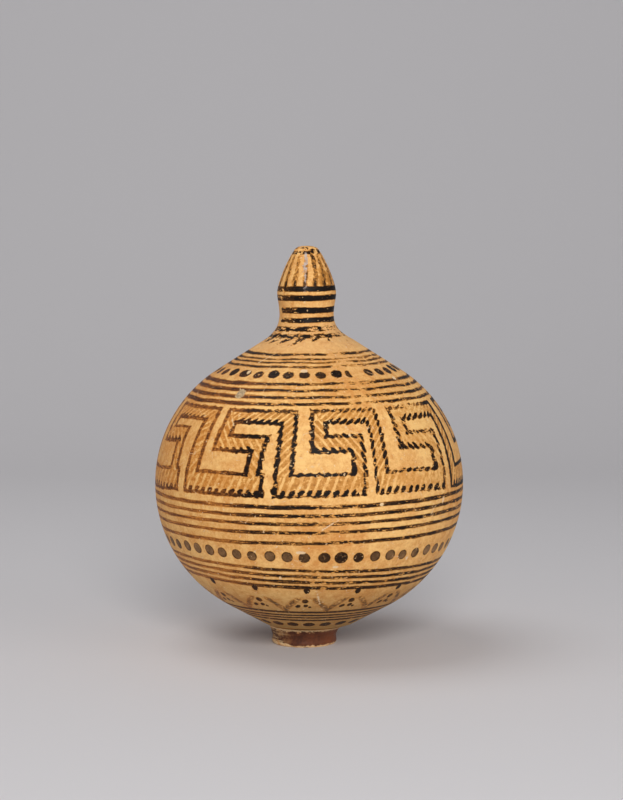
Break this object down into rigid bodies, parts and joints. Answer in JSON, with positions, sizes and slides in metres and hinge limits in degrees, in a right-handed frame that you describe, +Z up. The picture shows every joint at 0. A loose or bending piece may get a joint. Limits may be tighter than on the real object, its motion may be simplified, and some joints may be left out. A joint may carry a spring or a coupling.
{
  "type": "pomegranate vase",
  "caption": "Closed fired-clay vase shaped as a pomegranate: round hollow body, bud-shaped finial on top and a low foot, with painted bands, dots and a hatched meander.",
  "frame": {"origin": "on the body's axis, in the plane that the foot rests on", "axes": "+Z up along the body's axis, towards the finial; -Y towards the front of the painted frieze; +X to the viewer's right"},
  "size_m": [0.0928, 0.0928, 0.12],
  "materials": {
    "buff_clay": "burnished buff clay, painted with dark brown slip",
    "foot_slip": "dark red-brown slip, worn to bare clay along the lower edge"
  },
  "bodies": {
    "root": {"foot": "foot_slip", "foot_seam_coil": "buff_clay", "lower_bowl": "buff_clay", "belly_seam_coil": "buff_clay", "upper_bowl": "buff_clay", "finial": "buff_clay", "neck_seam_coil": "buff_clay"}
  },
  "joints": []
}
